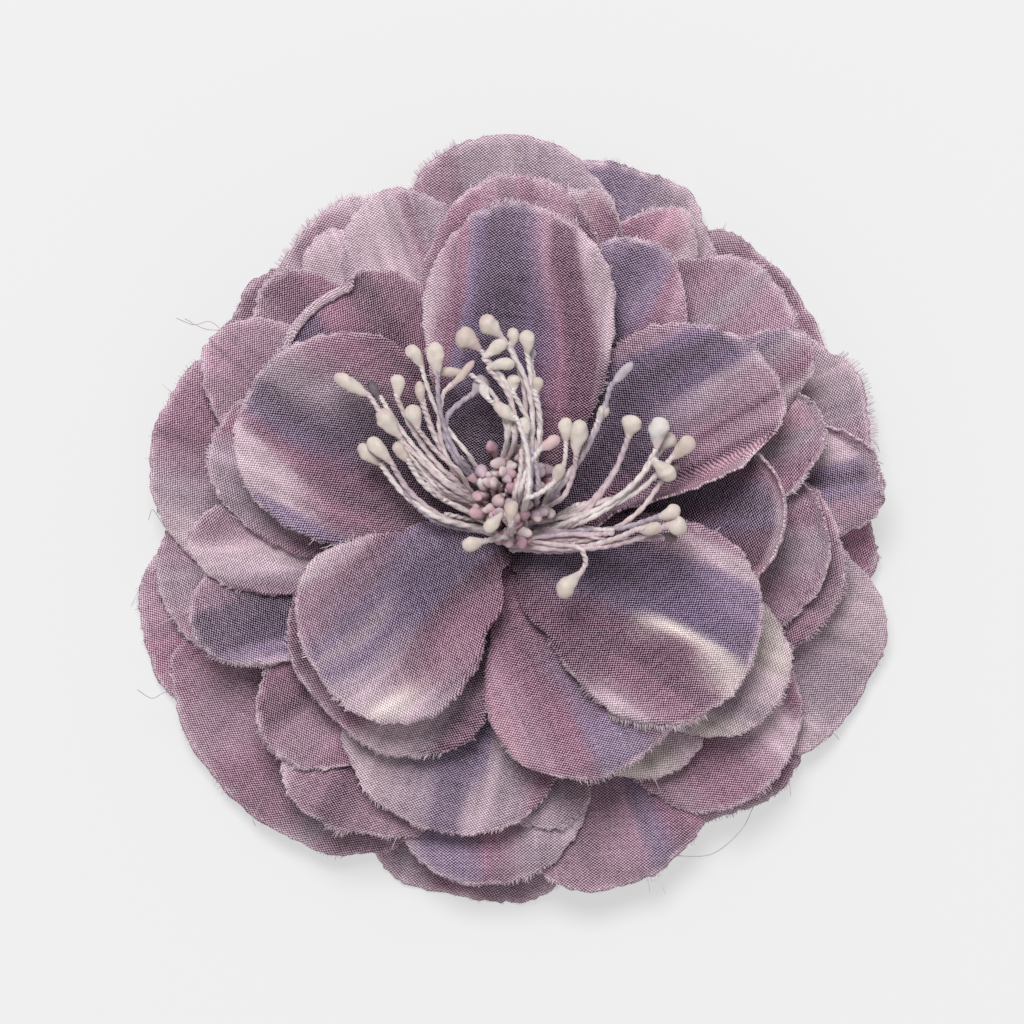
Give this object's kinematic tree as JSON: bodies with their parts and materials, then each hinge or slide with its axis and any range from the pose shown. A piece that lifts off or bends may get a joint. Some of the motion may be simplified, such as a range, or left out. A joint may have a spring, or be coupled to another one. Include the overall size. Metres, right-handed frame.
{
  "type": "flower lapel pin",
  "caption": "Round flower brooch of layered, frayed, space-dyed cloth petals with a bunch of knotted stamen threads on a felt back with a stick pin.",
  "frame": {"origin": "on the surface the flower rests on, under the middle of its outline", "axes": "+Z is the flower's face, up from the surface; +Y is the top of the flower as it is worn; +X is the wearer's view to the right when looking at the face"},
  "size_m": [0.1006, 0.1046, 0.0373],
  "materials": {
    "petal_cloth": "matt, space-dyed in indigo, plum, mauve and rose",
    "back_felt": "matt felt",
    "pin_metal": "nickel-plated steel",
    "stamen_thread": "waxed thread",
    "pip": "satin, cream",
    "bud": "satin, rose"
  },
  "bodies": {
    "root": {"pin_back": "pin_metal", "felt_back": "back_felt", "petal_1_1": "petal_cloth", "petal_1_2": "petal_cloth", "petal_1_3": "petal_cloth", "petal_1_4": "petal_cloth", "petal_1_5": "petal_cloth", "petal_1_6": "petal_cloth", "petal_2_1": "petal_cloth", "petal_2_2": "petal_cloth", "petal_2_3": "petal_cloth", "petal_2_4": "petal_cloth", "petal_2_5": "petal_cloth", "petal_2_6": "petal_cloth", "petal_2_7": "petal_cloth", "petal_3_1": "petal_cloth", "petal_3_2": "petal_cloth", "petal_3_3": "petal_cloth", "petal_3_4": "petal_cloth", "petal_3_5": "petal_cloth", "petal_3_6": "petal_cloth", "petal_4_1": "petal_cloth", "petal_4_2": "petal_cloth", "petal_4_3": "petal_cloth", "petal_4_4": "petal_cloth", "petal_4_5": "petal_cloth", "petal_5_1": "petal_cloth", "petal_5_2": "petal_cloth", "petal_5_3": "petal_cloth", "petal_5_4": "petal_cloth", "petal_5_5": "petal_cloth", "petal_5_6": "petal_cloth", "petal_5_7": "petal_cloth", "petal_5_8": "petal_cloth", "petal_5_9": "petal_cloth", "petal_5_10": "petal_cloth", "petal_5_11": "petal_cloth", "petal_5_12": "petal_cloth", "petal_5_13": "petal_cloth", "petal_6_1": "petal_cloth", "petal_6_2": "petal_cloth", "petal_6_3": "petal_cloth", "petal_6_4": "petal_cloth", "petal_6_5": "petal_cloth", "petal_6_6": "petal_cloth", "petal_6_7": "petal_cloth", "petal_7_1": "petal_cloth", "petal_7_2": "petal_cloth", "petal_7_3": "petal_cloth", "petal_7_4": "petal_cloth", "petal_7_5": "petal_cloth", "stamens": "stamen_thread"}
  },
  "joints": []
}
